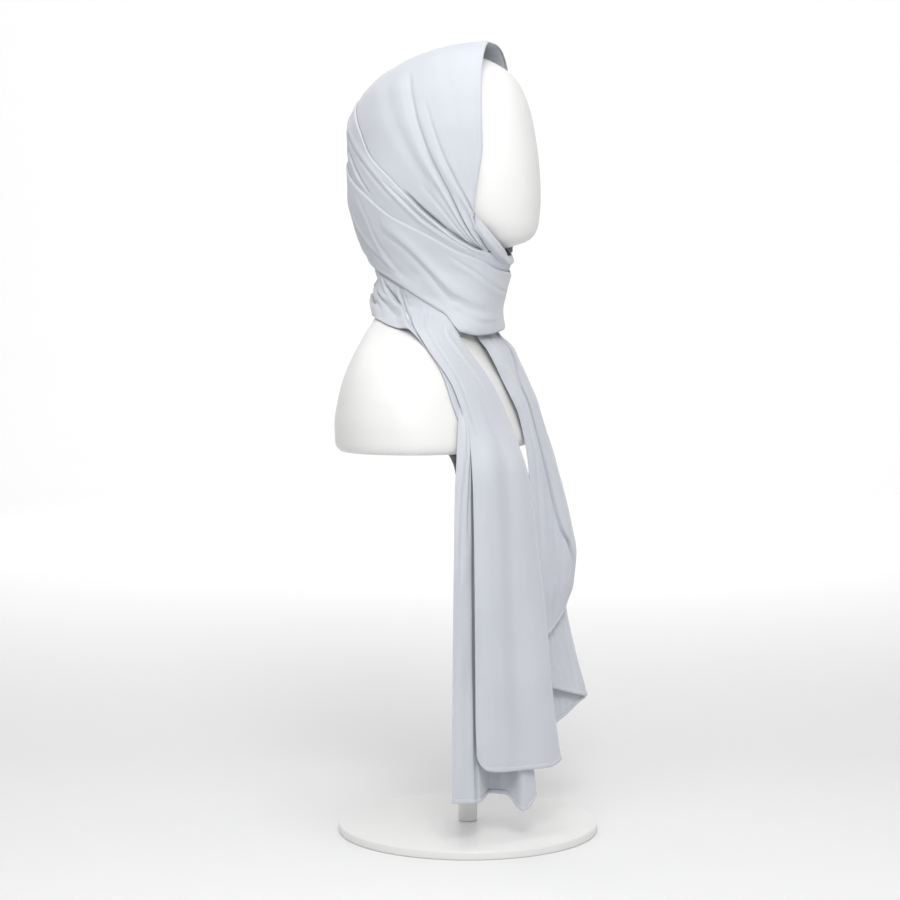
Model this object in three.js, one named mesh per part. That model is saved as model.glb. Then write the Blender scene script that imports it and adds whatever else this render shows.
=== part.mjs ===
// Hijab headscarf wound on a head-and-shoulders display form that stands on a post.
// Millimetres, +Z up. The face looks along -Y, the side that shows best is -X, and the
// origin is the middle of the base plate's underside, on the axis of the post.
import * as THREE from "three";

// Driving dimensions
const CLOTH = 1.5; // wall of every sheet of cloth
const PLY = 2.1; // from the face of one ply to the face of the ply that lies on it
const SEAT = 1.1; // gap between a sheet of cloth and the form under it
const SEAM = 0.3; // gap between two pieces that meet edge to edge
const UNDERLAY = 1.0; // how far the hood is drawn in where plies of the band lie on it
const SQUARENESS = 2.25; // exponent of the rounded sections, 2 is an ellipse
const FORM_BASE = 446; // height of the form's flat underside
const HOLD_LOWEST = 590; // lowest height at which the band holds the cloth off the neck
const SETTLE = 22; // drop in which the cloth below the band settles on the shoulders
const CHEST_END = 478; // below it the tails begin to leave the chest
const FREE_FALL = 432; // below it the tails hang free
const UNDER_PLY = 0.5; // gap between the far tail's two plies where they hang together
const ROLL_OFF = 4.6; // height of the chin roll's edges off the first layer
const CLEAR_BELOW = 50; // how far under the form a tail still hangs clear of its edge
const PLATE_RADIUS = 150;
const PLATE_HEIGHT = 10;
const POST_RADIUS = 11;
const COLLAR_RADIUS = 26;
const COLLAR_HEIGHT = 44;

// Every fold of the hood runs out from the throat, so its shape is worked out from there.
const THROAT = new THREE.Vector3(0, -42, 662);

// A table's rows as objects with named columns
const named = (columns, rows) =>
  rows.map((row) => Object.fromEntries(columns.map((column, i) => [column, row[i]])));

// Level sections of the display form
const FORM = named(
  ["z", "half", "front", "back"],
  [
    [FORM_BASE, 170, -59, 134],
    [449, 174, -62, 137],
    [455, 176, -63, 139],
    [475, 177, -59, 139],
    [500, 174, -51, 135],
    [525, 165, -42, 129],
    [550, 147, -30, 120],
    [570, 120, -21, 113],
    [578, 106, -18, 111],
    [585, 92, -15, 108],
    [592, 77, -13, 106],
    [600, 64, -11, 104],
    [609, 55, -9, 101],
    [620, 50, -9, 98],
    [640, 47, -12, 94],
    [660, 46, -20, 94],
    [671, 47, -38, 98],
    [678, 49, -64, 103],
    [686, 55, -76, 108],
    [700, 66, -81, 118],
    [729, 74, -83, 126],
    [765, 78, -81, 132],
    [795, 78, -77, 132],
    [825, 75, -71, 124],
    [850, 67, -62, 111],
    [868, 56, -50, 93],
    [880, 42, -33, 73],
    [888, 28, -16, 54],
    [893, 15, 2, 38],
  ],
);

// Level sections of the first layer of cloth round the head and neck
const WRAP = named(
  ["z", "half", "front", "back"],
  [
    [580, 100, -33, 120],
    [600, 70, -33, 113],
    [620, 62, -37, 108],
    [640, 62, -43, 107],
    [660, 66, -51, 112],
    [680, 72, -66, 122],
    [700, 77, -78, 129],
    [729, 82, -84, 135],
    [762, 85, -86, 137],
    [803, 85, -85, 139],
    [840, 81, -81, 126],
    [864, 73, -77, 104],
    [883, 60, -70, 74],
    [895, 44, -60, 44],
    [901, 30, -50, 18],
    [904, 16, -40, -8],
    [905, 0.5, -30, -28],
  ],
);

// Front edge of the hood: lean of the fan's plane at each angle up the side of the head
const HOOD_EDGE = named(
  ["rise", "lean"],
  [
    [8, 15],
    [20, 15],
    [31, 18],
    [39, 12],
    [49, 5],
    [60, 1.2],
    [77, 2],
    [90, 3.4],
  ],
);

// Folds of the hood. Each follows a line from the throat, lean = start + turn * (90 - rise),
// on one side of the head or the other, and swells between the two rises.
const HOOD_FOLDS = named(
  ["side", "start", "turn", "height", "width", "low", "high"],
  [
    [1, 15.5, 0.05, 3.2, 3.4, 12, 62],
    [1, 26, -0.17, 2.6, 3.0, 12, 56],
    [1, 21, 0.2, 4.2, 3.6, 12, 70],
    [1, 34, 0.12, 2.4, 4.0, 14, 58],
    [-1, 13, 0.08, 3.0, 3.6, 12, 58],
    [-1, 23, 0.0, 3.6, 3.4, 12, 66],
    [-1, 32, 0.13, 2.8, 4.2, 14, 60],
  ],
);

// Edges of the band that goes round the neck and the back of the head, by angle round
// the neck from the front through the near side
const BAND = named(
  ["turn", "low", "high"],
  [
    [-22, 580, 645],
    [0, 577, 646],
    [15, 575, 647],
    [30, 574, 651],
    [42, 577, 658],
    [65, 598, 669],
    [89, 614, 688],
    [111, 630, 707],
    [130, 642, 733],
    [148, 652, 753],
    [165, 659, 771],
    [180, 662, 778],
    [200, 660, 770],
    [225, 648, 738],
    [250, 632, 706],
    [275, 615, 684],
    [300, 598, 666],
    [320, 587, 652],
    [338, 580, 645],
  ],
);

// Upper edge of the ply that shows above the band
const UPPER_PLY = named(
  ["turn", "high"],
  [
    [38, 661],
    [52, 667],
    [69, 683],
    [89, 709],
    [99, 727],
    [112, 752],
    [125, 776],
    [134, 806],
    [146, 826],
    [162, 840],
    [180, 845],
    [200, 836],
    [221, 806],
    [240, 768],
    [260, 732],
    [280, 704],
    [300, 682],
    [322, 664],
  ],
);

// Middle line of the rolled fold under the chin
const CHIN_ROLL = named(
  ["turn", "height"],
  [
    [-62, 700],
    [-45, 680],
    [-25, 667],
    [0, 661],
    [25, 666],
    [45, 681],
    [61, 702],
  ],
);

// Lower edge of the cloth that goes round the nape and over the near shoulder
const NAPE_EDGE = named(
  ["turn", "low"],
  [
    [36, 474],
    [45, 474.5],
    [47.5, 498],
    [49.5, 524],
    [52.5, 541],
    [57, 553],
    [66, 566],
    [85, 578],
    [105, 584],
    [127, 590],
    [155, 594],
    [185, 594],
    [215, 593],
    [245, 591],
    [270, 597],
    [300, 603],
  ],
);

// Where the near tail's front panel lies on the shoulder and chest, in angles round them
const NEAR_CHEST = named(
  ["z", "left", "right"],
  [
    [FREE_FALL, 42, 11],
    [470, 43, 12.5],
    [493, 44, 14.5],
    [522, 47, 19.5],
    [548, 56, 27],
    [567, 66, 36],
    [585, 80, 45],
    [604, 95, 54],
    [626, 108, 66],
  ],
);

// Where it hangs: its two long edges in plan, and how far its soft ridge stands out
const NEAR_HANG = named(
  ["z", "leftX", "leftY", "rightX", "rightY", "ridge"],
  [
    [90, -125, -50, -33, -122, 9],
    [156, -127, -48, -34, -113, 9],
    [271, -130, -48, -37, -103, 8],
    [331, -132, -48, -39, -96, 9],
    [410, -136, -49, -44, -86, 12],
    [451, -138, -47, -49, -77, 16],
    [CHEST_END, -138, -43, -54, -71, 18],
  ],
);

const NEAR_HEM = named(
  ["across", "z"],
  [
    [0, 108],
    [0.07, 96],
    [0.4, 93],
    [0.8, 91],
    [1, 95],
  ],
);

// The ply behind it, in plan: the strip that shows at the left, its tuck behind the front
// panel, a recess, a rounded fold and the far edge
const BACK_PLY = named(
  ["z", "stripX", "stripY", "tuckX", "tuckY", "recessX", "recessY", "foldX", "foldY", "endX", "endY"],
  [
    [30, -146, -29, -129, -50, -108, -45, -72, -90, -49, -92],
    [70, -146, -29, -131, -47, -110, -43, -74, -84, -51, -91],
    [104, -146, -29, -133, -43, -113, -41, -76, -74, -53, -90],
    [232, -147, -30, -136, -41, -118, -41, -88, -66, -62, -83],
    [332, -147, -31, -137, -41, -122, -42, -98, -60, -78, -74],
    [405, -148, -30, -138, -38, -125, -41, -110, -49, -96, -58],
    [443, -146, -31, -138, -36, -126, -39, -114, -44, -103, -50],
    [472, -143, -29, -135, -31, -125, -36, -116, -41, -107, -45],
  ],
);

const BACK_HEM = named(
  ["across", "z"],
  [
    [0, 63],
    [0.25, 60],
    [0.5, 57],
    [0.78, 41],
    [1, 62],
  ],
);

// The far tail under the band, in angles round the throat
const FAR_CHEST = named(
  ["z", "left", "right"],
  [
    [563, 12, -20],
    [575, 15, -20],
    [590, 16, -19],
    [606, 16, -18],
  ],
);

// Below it falls clear of the chest
const FAR_HANG = named(
  ["z", "leftX", "leftY", "rightX", "rightY", "ridge"],
  [
    [220, 11, -86, 70, -92, 5],
    [259, 10, -84, 72, -98, 5],
    [285, 10, -82, 73, -106, 6],
    [310, 9, -79, 73, -109, 6],
    [358, 8, -75, 70, -103, 6],
    [426, 5, -71, 64, -87, 6],
    [483, 1, -65, 55, -71, 5],
    [496, -2, -62, 52, -68, 5],
    [525, -10, -52, 42, -58, 4],
    [540, -17, -47, 35, -52, 4],
    [563, -24, -38, 24, -44, 3],
    [580, -28, -33, 18, -37, 2],
  ],
);

const FAR_HEM = named(
  ["across", "z"],
  [
    [0, 226],
    [0.5, 236],
    [0.8, 250],
    [1, 284],
  ],
);

// Under it, the lower ply of the far tail
const LOWER_HANG = named(
  ["z", "leftX", "leftY", "rightX", "rightY", "ridge"],
  [
    [108, 26, -92, 78, -124, 3],
    [148, 24, -90, 78, -122, 3],
    [196, 21, -84, 80, -109, 3],
    [259, 18, -75, 82, -95, 3],
    [311, 16, -70, 80, -92, 3],
    [350, 14, -66, 76, -86, 3],
    [436, 10, -60, 62, -72, 3],
  ],
);

const LOWER_HEM = named(
  ["across", "z"],
  [
    [0, 168],
    [0.5, 158],
    [1, 149],
  ],
);

// The corner that turns back behind the lower ply
const CORNER_HANG = named(
  ["z", "leftX", "leftY", "rightX", "rightY", "ridge"],
  [
    [108, 36, -84, 79, -122, -3],
    [148, 35, -82, 79, -120, -3],
    [196, 33, -77, 81, -106.5, -3],
    [262, 31, -68, 82.5, -92, -3],
  ],
);

const CORNER_HEM = named(
  ["across", "z"],
  [
    [0, 114],
    [0.3, 121],
    [0.6, 131],
    [1, 147],
  ],
);

// Soft ridges and troughs along the band: across is 0 at the lower edge and 1 at the upper
const BAND_RIDGES = named(
  ["turn", "slope", "width", "height"],
  [
    [70, 34, 0.16, 2.0],
    [118, 30, 0.2, 1.6],
    [200, -26, 0.2, 1.8],
    [262, -34, 0.17, 2.0],
  ],
);

const radians = THREE.MathUtils.degToRad;

const smoothstep = (from, to, at) => THREE.MathUtils.smoothstep(at, from, to);

// Smooth curve through one column of a table, by its first column: a cubic between rows.
// Its slope at a row is the harmonic mean of the slopes on both sides, or level where they
// turn, so that the curve never runs past a row.
function curve(table, column, at) {
  const key = Object.keys(table[0])[0];
  const last = table.length - 1;
  const x = THREE.MathUtils.clamp(at, table[0][key], table[last][key]);
  let i = table.findIndex((row, n) => n < last && x <= table[n + 1][key]);
  if (i < 0) i = last - 1;
  const rate = (n) => (table[n + 1][column] - table[n][column]) / (table[n + 1][key] - table[n][key]);
  const slope = (n) => {
    if (n === 0) return rate(0);
    if (n === last) return rate(last - 1);
    const product = rate(n - 1) * rate(n);
    return product > 0 ? (2 * product) / (rate(n - 1) + rate(n)) : 0;
  };
  const span = table[i + 1][key] - table[i][key];
  const t = (x - table[i][key]) / span;
  return (
    (1 + 2 * t) * (1 - t) ** 2 * table[i][column] +
    t * (1 - t) ** 2 * span * slope(i) +
    t * t * (3 - 2 * t) * table[i + 1][column] +
    t * t * (t - 1) * span * slope(i + 1)
  );
}

// A level section's middle and half sizes at a height
function section(rings, z) {
  const front = curve(rings, "front", z);
  const back = curve(rings, "back", z);
  return { half: curve(rings, "half", z), middle: (front + back) / 2, depth: (back - front) / 2 };
}

// Distance from the section's middle to its outline at an angle round from the front
function reach(ring, turn) {
  const s = Math.sin(radians(turn));
  const c = Math.cos(radians(turn));
  const q = (Math.abs(s) ** SQUARENESS + Math.abs(c) ** SQUARENESS) ** (-1 / SQUARENESS);
  return { x: -ring.half * q * s, y: -ring.depth * q * c };
}

const onRing = (rings, turn, z) => {
  const ring = section(rings, z);
  const at = reach(ring, turn);
  return new THREE.Vector3(at.x, ring.middle + at.y, z);
};

// Point that stands a given distance off a ringed body, square to its surface
function offRing(rings, turn, z, off) {
  const point = onRing(rings, turn, z);
  if (off === 0) return point;
  const round = onRing(rings, turn - 1, z).sub(onRing(rings, turn + 1, z));
  const up = onRing(rings, turn, z + 1).sub(onRing(rings, turn, z - 1));
  return point.addScaledVector(round.cross(up).normalize(), off);
}

// Cloth that stands off the neck where the band holds it and lies on the shoulders below.
// Over and under are its face's distances from the first layer and from the form.
function drape(turn, z, over, under) {
  const hold = Math.max(curve(BAND, "low", turn) - 1, HOLD_LOWEST);
  const neck = offRing(WRAP, turn, Math.max(z, WRAP[0].z), over);
  neck.z += Math.min(z - WRAP[0].z, 0);
  const body = offRing(FORM, turn, z, under);
  return neck.lerp(body, 1 - smoothstep(hold - SETTLE, hold, z));
}

// Moves a point out, level, until it stands the given distance off the form
function clearOfForm(point, off) {
  if (point.z < FORM_BASE - CLEAR_BELOW) return point;
  const z = Math.max(point.z, FORM_BASE);
  const ring = section(FORM, z);
  const turn = THREE.MathUtils.radToDeg(
    Math.atan2(-point.x / ring.half, -(point.y - ring.middle) / ring.depth),
  );
  const limit = offRing(FORM, turn, z, off);
  const have = Math.hypot(point.x, point.y - ring.middle);
  const need = Math.hypot(limit.x, limit.y - ring.middle);
  if (have < need) {
    const fade = smoothstep(FORM_BASE - CLEAR_BELOW, FORM_BASE - 6, point.z);
    limit.z = point.z;
    point.lerp(limit, fade);
  }
  return point;
}

// Height of the first layer of cloth along a line from the throat, by halving
function fanReach(direction) {
  let near = 5;
  let far = 320;
  for (let pass = 0; pass < 40; pass += 1) {
    const middle = (near + far) / 2;
    const z = THROAT.z + direction.z * middle;
    const ring = section(WRAP, z);
    const x = (direction.x * middle) / ring.half;
    const y = (THROAT.y + direction.y * middle - ring.middle) / ring.depth;
    const inside = Math.abs(x) ** SQUARENESS + Math.abs(y) ** SQUARENESS < 1;
    if (inside && z < WRAP[WRAP.length - 1].z) near = middle;
    else far = middle;
  }
  return near;
}

// Point of the hood: lean turns the plane back from upright, rise turns round in it
function hoodPoint(across, along) {
  const rise = 9 + 162 * along;
  const up = Math.min(rise, 180 - rise);
  const side = rise < 90 ? 1 : -1;
  const first = curve(HOOD_EDGE, "lean", up);
  const lean = first + (72 - first) * across;
  const direction = new THREE.Vector3(
    -Math.cos(radians(rise)),
    Math.sin(radians(rise)) * Math.sin(radians(lean)),
    Math.sin(radians(rise)) * Math.cos(radians(lean)),
  );
  let lift = 0;
  for (const fold of HOOD_FOLDS) {
    if (fold.side !== side) continue;
    const ridge = fold.start + fold.turn * (90 - up);
    const swell = smoothstep(fold.low, fold.low + 14, up) * (1 - smoothstep(fold.high - 22, fold.high, up));
    lift += fold.height * swell * Math.exp(-(((lean - ridge) / fold.width) ** 2));
  }
  const covered = smoothstep(40, 47, lean);
  const height = lift * (1 - covered) - UNDERLAY * covered;
  return direction.multiplyScalar(fanReach(direction) + height).add(THROAT);
}

// Point of the band between its two edges
function bandPoint(turn, across, off) {
  const low = curve(BAND, "low", turn);
  const high = curve(BAND, "high", turn);
  let lift = 0;
  for (const ridge of BAND_RIDGES) {
    const away = (across - 0.5 - (turn - ridge.turn) / ridge.slope / 2) / ridge.width;
    lift += ridge.height * Math.exp(-away * away) * Math.sin(Math.PI * across);
  }
  return offRing(WRAP, turn, low + (high - low) * across, off + lift);
}

const nearBand = (u, v) => bandPoint(-22 + (165 + 22) * u, v, 2 * PLY);
const farBand = (u, v) => bandPoint(165.25 + (337.4 - 165.25) * u, v, 2 * PLY);

// The ply above the band starts hidden under the band's upper edge
function upperPly(u, v) {
  const turn = 40 + 280 * u;
  const low = curve(BAND, "high", turn) - 16;
  const high = Math.max(curve(UPPER_PLY, "high", turn), low + 8);
  return offRing(WRAP, turn, low + (high - low) * v, PLY);
}

// A roll that is open at the back, pushed up against the throat
function chinRoll(u, v) {
  const turn = -60 + 119 * u;
  const width = 18;
  const middle = curve(CHIN_ROLL, "height", turn) - 1;
  const taper = Math.sin(Math.PI * Math.min(u, 1 - u, 0.12) / 0.24);
  const swell = 4.5 * taper * Math.sin(Math.PI * v);
  return offRing(WRAP, turn, middle + (v - 0.5) * width, ROLL_OFF + swell);
}

// Cloth round the nape: it bags out below the band, then lies on the shoulders
function napeWrap(u, v) {
  const turn = 36 + 264 * u ** 1.5;
  const low = curve(NAPE_EDGE, "low", turn);
  const high = curve(BAND, "low", turn) + 12;
  const z = low + (high - low) * v;
  const bagLow = 592;
  const bagHigh = curve(BAND, "low", turn) - 2;
  const rise = THREE.MathUtils.clamp((z - bagLow) / Math.max(bagHigh - bagLow, 10), 0, 1);
  const round = smoothstep(95, 140, turn) * (1 - smoothstep(215, 260, turn));
  const bag = 9 * round * Math.sin(Math.PI * rise) ** 0.8;
  return drape(turn, z, bag - 0.3, bag + SEAT + CLOTH);
}

// Point of a sheet that hangs between two edges in plan, with one soft ridge a third of the
// way across and a shallow trough beyond it, and the level direction that the sheet faces
function hanging(hang, u, z) {
  const left = new THREE.Vector3(curve(hang, "leftX", z), curve(hang, "leftY", z), z);
  const right = new THREE.Vector3(curve(hang, "rightX", z), curve(hang, "rightY", z), z);
  const out = new THREE.Vector3(right.y - left.y, left.x - right.x, 0).normalize();
  const wave = Math.sin(Math.PI * u) + 0.35 * Math.sin(3 * Math.PI * u);
  const point = left.lerp(right, u).addScaledVector(out, curve(hang, "ridge", z) * wave);
  return { point, out };
}

// A tail that lies on the chest by angles round it above, and hangs below
function tailPoint(tail, off, u, v) {
  const { chest, hang, hem, top, settle } = tail;
  const bottom = curve(hem, "z", u);
  const z = top - (top - bottom) * (1 - v) ** 1.5;
  const free = clearOfForm(hanging(hang, u, z).point, off);
  if (!chest) return free;
  const turn = curve(chest, "left", z) * (1 - u) + curve(chest, "right", z) * u;
  const lying = drape(turn, z, PLY - 0.4, off);
  return free.lerp(lying, smoothstep(settle[0], settle[1], z));
}

const ON_NAPE = SEAT + CLOTH + PLY + 0.8; // face of a tail that lies on the nape's cloth

// Each tail's tables, its top, and the heights between which it settles on what is under it
const NEAR_TAIL = {
  chest: NEAR_CHEST,
  hang: NEAR_HANG,
  hem: NEAR_HEM,
  top: 626,
  settle: [FREE_FALL, CHEST_END],
};
const FAR_TAIL = { chest: FAR_CHEST, hang: FAR_HANG, hem: FAR_HEM, top: 606, settle: [556, 582] };
const LOWER_TAIL = { hang: LOWER_HANG, hem: LOWER_HEM, top: 436 };
const TURNED_CORNER = { hang: CORNER_HANG, hem: CORNER_HEM, top: 262 };

const nearTailFront = (u, v) => tailPoint(NEAR_TAIL, ON_NAPE, u, v);
// The lower ply of the far tail lies against the ply over it at its top and then parts
// from it
function farTailBack(u, v) {
  const own = tailPoint(LOWER_TAIL, SEAT + CLOTH, u, v);
  const over = hanging(FAR_TAIL.hang, 0.07 + 0.86 * u, own.z);
  over.point.addScaledVector(over.out, -(CLOTH + UNDER_PLY));
  return own.lerp(over.point, smoothstep(370, 425, own.z));
}

const farTailCorner = (u, v) => tailPoint(TURNED_CORNER, SEAT + CLOTH, u, v);

// The far tail's front sheet has a lip: past a line that slants down it lies a ply higher
function farTailFront(u, v) {
  const point = tailPoint(FAR_TAIL, SEAT + CLOTH, u, v);
  const line = 0.3 + 0.5 * smoothstep(470, 320, point.z);
  const lip = 2.4 * smoothstep(line, line + 0.12, u) * smoothstep(300, 330, point.z);
  const shown = lip * (1 - smoothstep(455, 490, point.z));
  return point.add(new THREE.Vector3(-0.45, -0.9, 0).multiplyScalar(shown));
}

// The ply behind the near tail, through five named lines of its plan
function nearTailBack(u, v) {
  const bottom = curve(BACK_HEM, "z", u);
  const z = 472.6 - (472.6 - bottom) * (1 - v) ** 1.5;
  const lines = ["strip", "tuck", "recess", "fold", "end"];
  const across = lines.map((line, i) => ({
    at: i / (lines.length - 1),
    x: curve(BACK_PLY, `${line}X`, z),
    y: curve(BACK_PLY, `${line}Y`, z),
  }));
  const point = new THREE.Vector3(curve(across, "x", u), curve(across, "y", u), z);
  return clearOfForm(point, SEAT + CLOTH);
}

// The same surface with its first parameter run the other way, so that it faces out
const reversed = (surface) => (u, v) => surface(1 - u, v);

// Closed wall of even thickness under a surface of two parameters from 0 to 1, whose face
// side is where the first parameter's direction crossed with the second's points
function wall(surface, columns, rows) {
  const face = [];
  const back = [];
  const step = 1e-3;
  for (let j = 0; j <= rows; j += 1) {
    for (let i = 0; i <= columns; i += 1) {
      const u = i / columns;
      const v = j / rows;
      const along = surface(Math.min(u + step, 1), v).sub(surface(Math.max(u - step, 0), v));
      const up = surface(u, Math.min(v + step, 1)).sub(surface(u, Math.max(v - step, 0)));
      const point = surface(u, v);
      face.push(point);
      back.push(point.clone().addScaledVector(along.cross(up).normalize(), -CLOTH));
    }
  }
  const points = [...face, ...back];
  const shift = face.length;
  const at = (i, j) => j * (columns + 1) + i;
  const index = [];
  const quad = (a, b, c, d) => index.push(a, b, c, a, c, d);
  for (let j = 0; j < rows; j += 1) {
    for (let i = 0; i < columns; i += 1) {
      const corners = [at(i, j), at(i + 1, j), at(i + 1, j + 1), at(i, j + 1)];
      quad(...corners);
      quad(...corners.map((n) => n + shift).reverse());
    }
  }
  for (let i = 0; i < columns; i += 1) {
    quad(at(i + 1, 0), at(i, 0), at(i, 0) + shift, at(i + 1, 0) + shift);
    quad(at(i, rows), at(i + 1, rows), at(i + 1, rows) + shift, at(i, rows) + shift);
  }
  for (let j = 0; j < rows; j += 1) {
    quad(at(0, j), at(0, j + 1), at(0, j + 1) + shift, at(0, j) + shift);
    quad(at(columns, j + 1), at(columns, j), at(columns, j) + shift, at(columns, j + 1) + shift);
  }
  return solid(points, index);
}

function solid(points, index) {
  const geometry = new THREE.BufferGeometry().setFromPoints(points);
  geometry.setIndex(index);
  geometry.computeVertexNormals();
  return geometry;
}

// The display form: level sections joined from the flat underside to a point at the crown
function formBody() {
  const around = 42;
  const points = [];
  const heights = FORM.map((row) => row.z);
  for (const z of heights) {
    for (let i = 0; i < around; i += 1) points.push(offRing(FORM, (360 * i) / around, z, 0));
  }
  const top = section(FORM, heights[heights.length - 1]);
  const index = [];
  for (let j = 0; j < heights.length - 1; j += 1) {
    for (let i = 0; i < around; i += 1) {
      const next = (i + 1) % around;
      const a = j * around;
      const b = a + around;
      index.push(a + i, b + next, a + next, a + i, b + i, b + next);
    }
  }
  const foot = points.push(new THREE.Vector3(0, section(FORM, FORM_BASE).middle, FORM_BASE)) - 1;
  const crown = points.push(new THREE.Vector3(0, top.middle, 894.2)) - 1;
  const last = (heights.length - 1) * around;
  for (let i = 0; i < around; i += 1) {
    const next = (i + 1) % around;
    index.push(foot, i, next);
    index.push(crown, last + next, last + i);
  }
  return solid(points, index);
}

// A turned piece: its profile in radius and height, turned to stand on +Z
function turned(profile) {
  const outline = profile.map(([radius, height]) => new THREE.Vector2(radius, height));
  return new THREE.LatheGeometry(outline, 30).rotateX(Math.PI / 2);
}

function basePlate() {
  const bevel = 2;
  return turned([
    [0, 0],
    [PLATE_RADIUS - bevel, 0],
    [PLATE_RADIUS, bevel],
    [PLATE_RADIUS, PLATE_HEIGHT - bevel],
    [PLATE_RADIUS - bevel, PLATE_HEIGHT],
    [0, PLATE_HEIGHT],
  ]);
}

function post() {
  const top = FORM_BASE - COLLAR_HEIGHT - SEAM;
  return turned([
    [0, PLATE_HEIGHT + SEAM],
    [POST_RADIUS, PLATE_HEIGHT + SEAM],
    [POST_RADIUS, top],
    [0, top],
  ]);
}

// Turned wooden collar that flares like a trumpet under the form
function postCollar() {
  const foot = FORM_BASE - COLLAR_HEIGHT;
  const top = FORM_BASE - SEAM;
  const neck = POST_RADIUS + 3;
  const flare = Array.from({ length: 7 }, (_, i) => {
    const t = i / 6;
    return [neck + (COLLAR_RADIUS - neck) * t ** 2.2, foot + 4 + (COLLAR_HEIGHT - 9) * t];
  });
  return turned([[0, foot], [neck, foot], ...flare, [COLLAR_RADIUS, top], [0, top]]);
}

const material = (color, roughness, metalness) =>
  new THREE.MeshStandardMaterial({ color, roughness, metalness });

const cloth = material(0xd3d9e0, 0.85, 0);
const clothShade = material(0xbcc3cc, 0.85, 0);
const formWhite = material(0xeeeeec, 0.55, 0);
const darkWood = material(0x4a352d, 0.6, 0);
const standWhite = material(0xe6e6e4, 0.4, 0);

const pieces = [
  ["hood", wall(reversed(hoodPoint), 27, 34), cloth],
  ["chin_fold", wall(reversed(chinRoll), 26, 5), cloth],
  ["band_upper", wall(reversed(upperPly), 44, 4), cloth],
  ["near_band", wall(reversed(nearBand), 36, 7), cloth],
  ["far_band", wall(reversed(farBand), 34, 7), cloth],
  ["nape_wrap", wall(reversed(napeWrap), 46, 9), clothShade],
  ["near_tail_front", wall(nearTailFront, 10, 27), cloth],
  ["near_tail_back", wall(nearTailBack, 16, 15), clothShade],
  ["far_tail_front", wall(farTailFront, 10, 24), cloth],
  ["far_tail_back", wall(farTailBack, 8, 14), clothShade],
  ["far_tail_corner", wall(farTailCorner, 8, 8), clothShade],
  ["display_form", formBody(), formWhite],
  ["post_collar", postCollar(), darkWood],
  ["post", post(), standWhite],
  ["base_plate", basePlate(), standWhite],
];

const group = new THREE.Group();
for (const [name, geometry, finish] of pieces) {
  const mesh = new THREE.Mesh(geometry, finish);
  mesh.name = name;
  group.add(mesh);
}

export default group;
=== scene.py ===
"""Hijab headscarf wound on a head-and-shoulders display form, as an add-on's panel and operators.

Every stretch of the scarf is a surface of two parameters from 0 to 1, worked out as whole
numpy arrays. Sizes in the tables are millimetres, as on the drawing board, and the meshes are
metres. The face looks along -Y, the side that shows best is -X, and +Z is up.
"""

import math

import bmesh
import bpy
import numpy as np
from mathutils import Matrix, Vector


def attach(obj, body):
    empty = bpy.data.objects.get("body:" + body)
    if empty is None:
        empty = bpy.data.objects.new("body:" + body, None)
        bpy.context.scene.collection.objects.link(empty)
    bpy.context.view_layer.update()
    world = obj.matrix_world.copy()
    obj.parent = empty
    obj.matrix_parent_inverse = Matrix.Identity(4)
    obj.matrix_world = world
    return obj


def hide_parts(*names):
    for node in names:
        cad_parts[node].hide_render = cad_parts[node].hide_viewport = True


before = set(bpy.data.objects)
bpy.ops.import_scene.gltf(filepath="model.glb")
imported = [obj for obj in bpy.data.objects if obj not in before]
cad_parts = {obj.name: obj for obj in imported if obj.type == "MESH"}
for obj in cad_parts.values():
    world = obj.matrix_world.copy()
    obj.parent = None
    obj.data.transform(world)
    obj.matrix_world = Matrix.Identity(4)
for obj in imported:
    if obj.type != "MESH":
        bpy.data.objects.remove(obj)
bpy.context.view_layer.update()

bl_info = {
    "name": "Wound headscarf on a display form",
    "version": (1, 0, 0),
    "blender": (4, 5, 0),
    "location": "View3D > Sidebar > Scarf",
    "description": "Builds a wound headscarf with hanging tails on a display form",
    "category": "Add Mesh",
}

MM = 0.001
SQUARENESS = 2.25
SEAT = 1.1
CLOTH = 1.5
PLY = 2.1
ON_NAPE = SEAT + CLOTH + PLY + 0.8
HOLD_LOWEST = 590.0
SETTLE = 22.0
FORM_BASE = 446.0
CLEAR_BELOW = 50.0
THROAT = np.array([0.0, -42.0, 662.0])
PLATE_HEIGHT = 10.0
GAP = 0.3
HEM_WALL = 0.9
HEM_ROWS = 10
HOOD_START, HOOD_SWEEP = 9.0, 162.0
HOOD_BACK = 72.0
HALVINGS = 34


def named(columns, rows):
    """A table's columns as arrays, by name. The first column is the one it is read by."""
    return dict(zip(columns.split(), np.array(rows, float).T))


# Level sections of the display form
FORM = named("z half front back", [
    (446, 170, -59, 134), (449, 174, -62, 137), (455, 176, -63, 139), (475, 177, -59, 139),
    (500, 174, -51, 135), (525, 165, -42, 129), (550, 147, -30, 120), (570, 120, -21, 113),
    (578, 106, -18, 111), (585, 92, -15, 108), (592, 77, -13, 106), (600, 64, -11, 104),
    (609, 55, -9, 101), (620, 50, -9, 98), (640, 47, -12, 94), (660, 46, -20, 94),
    (671, 47, -38, 98), (678, 49, -64, 103), (686, 55, -76, 108), (700, 66, -81, 118),
    (729, 74, -83, 126), (765, 78, -81, 132), (795, 78, -77, 132), (825, 75, -71, 124),
    (850, 67, -62, 111), (868, 56, -50, 93), (880, 42, -33, 73), (888, 28, -16, 54),
    (893, 15, 2, 38),
])

# Level sections of the first layer of cloth round the head and neck
WRAP = named("z half front back", [
    (580, 100, -33, 120), (600, 70, -33, 113), (620, 62, -37, 108), (640, 62, -43, 107),
    (660, 66, -51, 112), (680, 72, -66, 122), (700, 77, -78, 129), (729, 82, -84, 135),
    (762, 85, -86, 137), (803, 85, -85, 139), (840, 81, -81, 126), (864, 73, -77, 104),
    (883, 60, -70, 74), (895, 44, -60, 44), (901, 30, -50, 18), (904, 16, -40, -8),
    (905, 0.5, -30, -28),
])

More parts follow.
